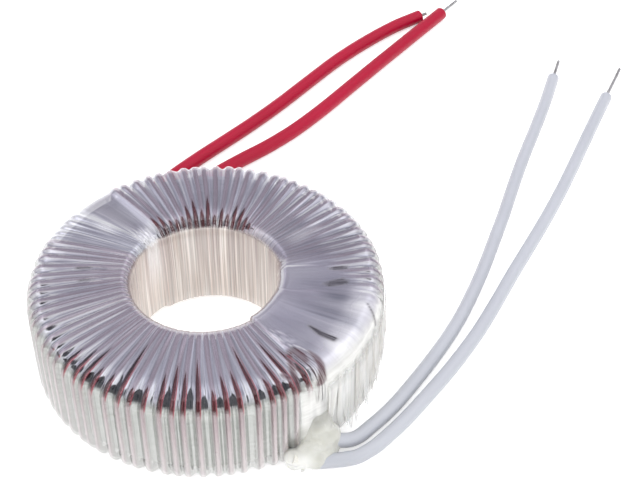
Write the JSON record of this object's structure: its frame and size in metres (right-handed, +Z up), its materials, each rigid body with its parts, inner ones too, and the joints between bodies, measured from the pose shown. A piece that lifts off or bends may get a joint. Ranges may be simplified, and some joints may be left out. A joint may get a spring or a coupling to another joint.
{
  "type": "toroidal transformer",
  "caption": "Small toroidal transformer: a wound ring under clear film wrap, with two white and two red flying leads and a centre hole for its fixing bolt.",
  "frame": {"origin": "on the toroid's axis, at the height of the surface that it stands on", "axes": "+Z up the axis of the centre hole, +X towards the side where the white leads run"},
  "size_m": [0.1341, 0.1447, 0.0202],
  "materials": {
    "core_steel": "strip-wound silicon steel",
    "washer_board": "pressboard",
    "core_tape": "polyester tape",
    "primary_wire": "fine enamelled copper wire",
    "milky_film": "milky polyester film",
    "secondary_wire": "red enamelled copper wire",
    "pad_film": "clear polyester sheet",
    "wrap_film": "clear polyester tape, tight over the turns",
    "sleeve": "shrunk sleeve",
    "glue": "milky hot-melt glue",
    "white_insulation": "satin PVC",
    "red_insulation": "satin PVC",
    "tinned_copper": "tinned stranded copper"
  },
  "bodies": {
    "root": {"core": "core_steel", "core_end_washer_top": "washer_board", "core_end_washer_bottom": "washer_board", "core_tape": "core_tape", "primary_winding": "primary_wire", "primary_insulation": "milky_film", "secondary_winding": "secondary_wire", "insulating_pad": "pad_film", "outer_wrap": "wrap_film", "white_lead_1_joint": "sleeve", "white_lead_2_joint": "sleeve", "red_lead_1_joint": "sleeve", "red_lead_2_joint": "sleeve", "white_exit_glue": "glue", "red_exit_glue": "glue", "white_lead_1": "white_insulation", "white_lead_2": "white_insulation", "red_lead_1": "red_insulation", "red_lead_2": "red_insulation", "white_lead_1_tip": "tinned_copper", "white_lead_2_tip": "tinned_copper", "red_lead_1_tip": "tinned_copper", "red_lead_2_tip": "tinned_copper"}
  },
  "joints": []
}
